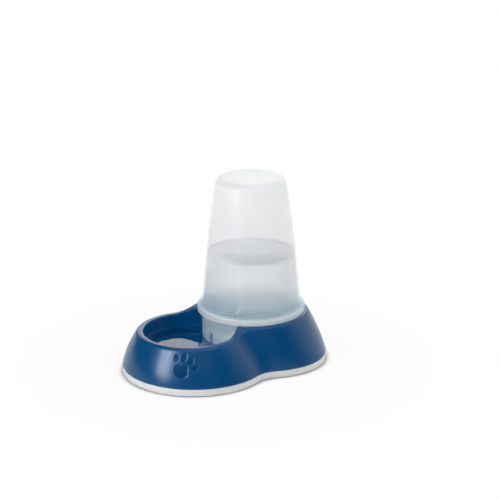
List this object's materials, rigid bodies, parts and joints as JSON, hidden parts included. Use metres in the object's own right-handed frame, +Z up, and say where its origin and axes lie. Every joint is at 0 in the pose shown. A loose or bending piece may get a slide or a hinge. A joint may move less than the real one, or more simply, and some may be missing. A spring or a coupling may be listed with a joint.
{
  "type": "pet water dispenser",
  "caption": "Gravity water dispenser for pets: a figure-8 base with a round drinking bowl and a socket, and a frosted upside-down reservoir with a hollow front that lifts out.",
  "frame": {"origin": "middle of the footprint's length and width, on the surface that it stands on", "axes": "+X runs from the drinking bowl to the reservoir, +Z is up, and the XZ plane is the middle plane of the shape"},
  "size_m": [0.29, 0.2, 0.2535],
  "materials": {
    "base_plastic": "satin-gloss moulded blue polypropylene",
    "soft_ring": "matt white soft elastomer",
    "frosted_plastic": "frosted see-through polypropylene",
    "water": "clear water"
  },
  "bodies": {
    "base": {"base_shell": "base_plastic", "anti_slip_ring": "soft_ring"},
    "reservoir": {"reservoir": "frosted_plastic"}
  },
  "joints": [
    {"name": "reservoir_lift", "type": "slide", "parent": "base", "child": "reservoir", "axis": [0, 0, 1], "range_m": [0, 0.06]}
  ]
}
